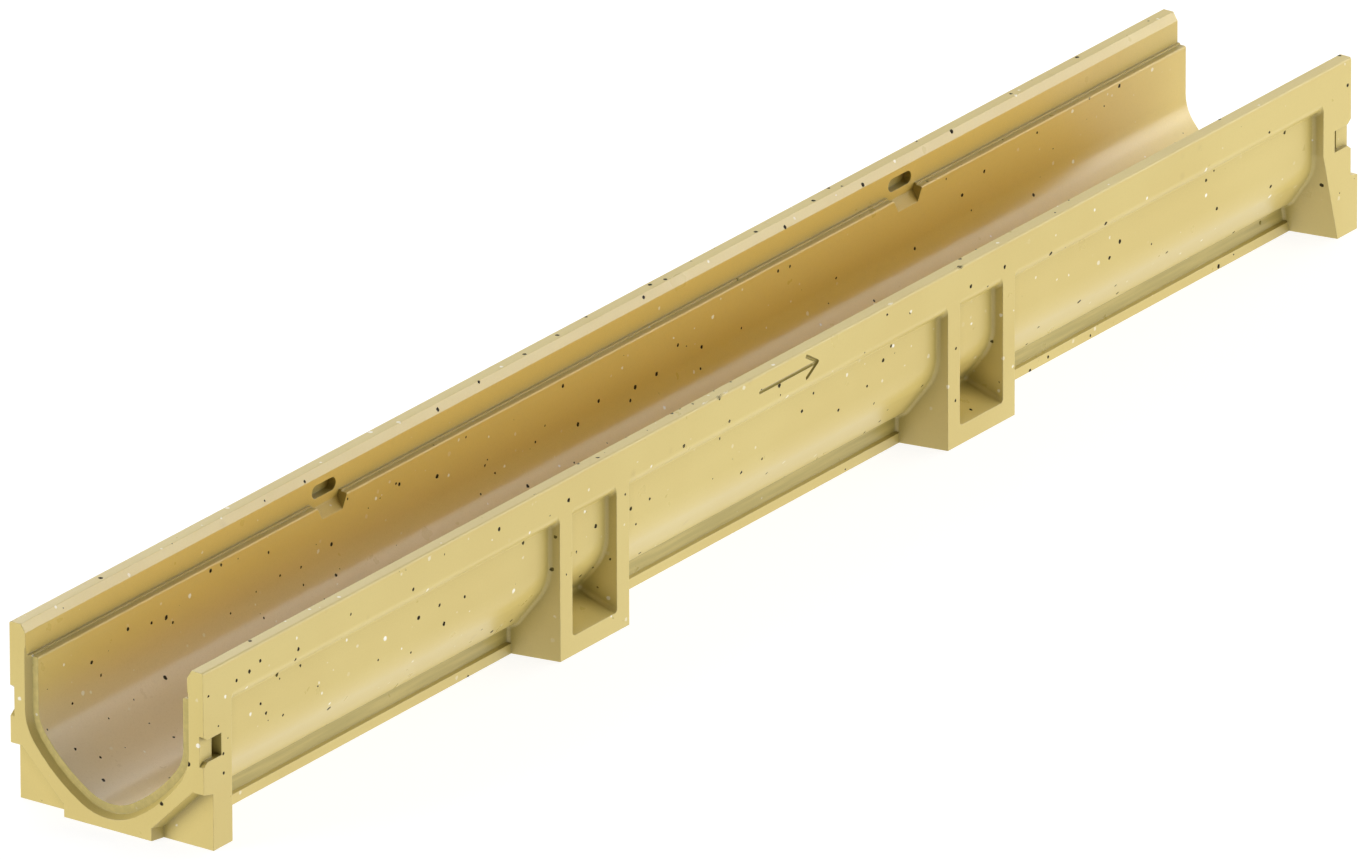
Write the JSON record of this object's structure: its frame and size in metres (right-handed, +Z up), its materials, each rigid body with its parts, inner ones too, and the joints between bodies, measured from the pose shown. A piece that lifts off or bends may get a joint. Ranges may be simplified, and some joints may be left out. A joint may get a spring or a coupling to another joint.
{
  "type": "channel drain",
  "caption": "Open drainage channel cast in polymer concrete, with a rounded waterway, recessed grating seat, ribbed side walls, rebated socket end and spigot end with locating feet.",
  "frame": {"origin": "centre of the underside, in the middle of the laying length", "axes": "+X along the channel towards the spigot end with the feet, +Z up towards the open top, +Y across it"},
  "size_m": [1.0061, 0.118, 0.097],
  "materials": {
    "polymer_concrete": "smooth mould-cast polymer concrete, sand yellow with scattered dark and pale grains"
  },
  "bodies": {
    "root": {"channel_body": "polymer_concrete"}
  },
  "joints": []
}
